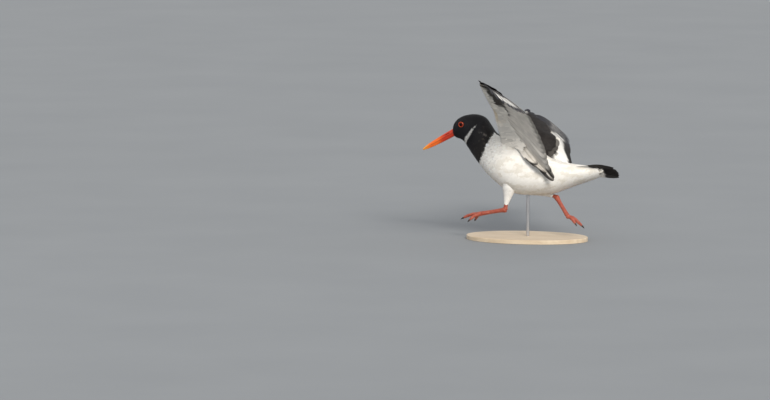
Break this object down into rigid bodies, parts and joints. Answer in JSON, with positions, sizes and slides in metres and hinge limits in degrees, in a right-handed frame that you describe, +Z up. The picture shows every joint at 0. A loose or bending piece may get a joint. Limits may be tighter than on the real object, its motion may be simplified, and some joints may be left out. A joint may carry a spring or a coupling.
{
  "type": "oystercatcher",
  "caption": "Life-size still model of a running Eurasian oystercatcher with both wings raised, held clear of the ground by a plain base and rod.",
  "frame": {"origin": "centre of the flat underside of the stand's base", "axes": "the bird faces -Y, its left side is +X, +Z is up"},
  "size_m": [0.6486, 0.4092, 0.3297],
  "materials": {
    "head_feathers": "glossy black plumage",
    "neck_feathers": "black plumage with a brown cast",
    "body_feathers": "soft white plumage",
    "tail_feathers": "white-based tail feathers with a broad black end band",
    "wing_coverts": "black upper coverts, white under coverts",
    "flight_feathers": "black and white flight feathers",
    "bill": "horn, orange-red with a paler tip",
    "eye": "red iris, black pupil, wet gloss",
    "legs": "scaled skin, coral pink",
    "claws": "black horn",
    "stand_base": "pale satin lacquered wood",
    "stand_rod": "fine brushed steel"
  },
  "bodies": {
    "root": {"head": "head_feathers", "neck": "neck_feathers", "trunk": "body_feathers", "rump": "body_feathers", "tail": "tail_feathers", "bill_upper": "bill", "bill_lower": "bill", "eye_left": "eye", "eye_right": "eye", "wing_left_arm": "wing_coverts", "wing_left_hand": "wing_coverts", "wing_left_alula": "wing_coverts", "wing_left_primaries": "flight_feathers", "wing_left_secondaries": "flight_feathers", "wing_left_tertials": "flight_feathers", "leg_left_thigh": "body_feathers", "leg_left_tarsus": "legs", "leg_left_foot": "legs", "leg_left_claw_inner": "claws", "leg_left_claw_middle": "claws", "leg_left_claw_outer": "claws", "wing_right_arm": "wing_coverts", "wing_right_hand": "wing_coverts", "wing_right_alula": "wing_coverts", "wing_right_primaries": "flight_feathers", "wing_right_secondaries": "flight_feathers", "wing_right_tertials": "flight_feathers", "leg_right_thigh": "body_feathers", "leg_right_tarsus": "legs", "leg_right_foot": "legs", "leg_right_claw_inner": "claws", "leg_right_claw_middle": "claws", "leg_right_claw_outer": "claws", "stand_base": "stand_base", "stand_rod": "stand_rod"}
  },
  "joints": []
}
